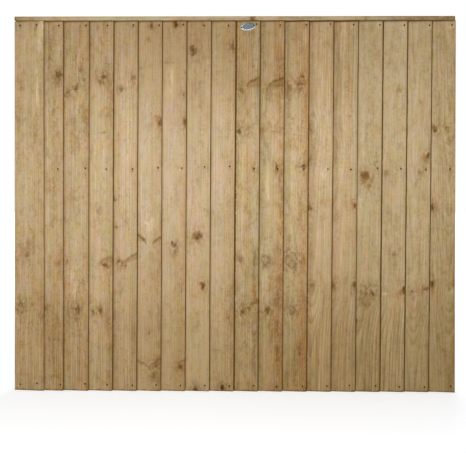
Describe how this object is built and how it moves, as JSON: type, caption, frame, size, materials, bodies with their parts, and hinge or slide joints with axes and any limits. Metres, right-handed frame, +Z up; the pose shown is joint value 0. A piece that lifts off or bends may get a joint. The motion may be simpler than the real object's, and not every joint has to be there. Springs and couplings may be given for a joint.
{
  "type": "closeboard fence panel",
  "caption": "Closeboard fence panel: tapered, overlapping vertical boards on a frame of stiles and rails, under a chamfered cap.",
  "frame": {"origin": "on the left stile's outer face, where it meets a post, at the middle of the stile's depth and at the panel's foot", "axes": "+X along the panel in the order the boards are laid, +Y from the boarded face to the back, +Z up"},
  "size_m": [1.828, 0.0574, 1.552],
  "materials": {
    "board_timber": "rough sawn softwood, pressure treated, dry and unpainted",
    "frame_timber": "rough sawn softwood, pressure treated, dry and unpainted",
    "cap_timber": "rough sawn softwood, pressure treated, dry and unpainted"
  },
  "bodies": {
    "root": {"left_stile": "frame_timber", "right_stile": "frame_timber", "bottom_rail": "frame_timber", "middle_rail": "frame_timber", "top_rail": "frame_timber", "board_01": "board_timber", "board_02": "board_timber", "board_03": "board_timber", "board_04": "board_timber", "board_05": "board_timber", "board_06": "board_timber", "board_07": "board_timber", "board_08": "board_timber", "board_09": "board_timber", "board_10": "board_timber", "board_11": "board_timber", "board_12": "board_timber", "board_13": "board_timber", "board_14": "board_timber", "board_15": "board_timber", "board_16": "board_timber", "board_17": "board_timber", "board_18": "board_timber", "cap": "cap_timber"}
  },
  "joints": []
}
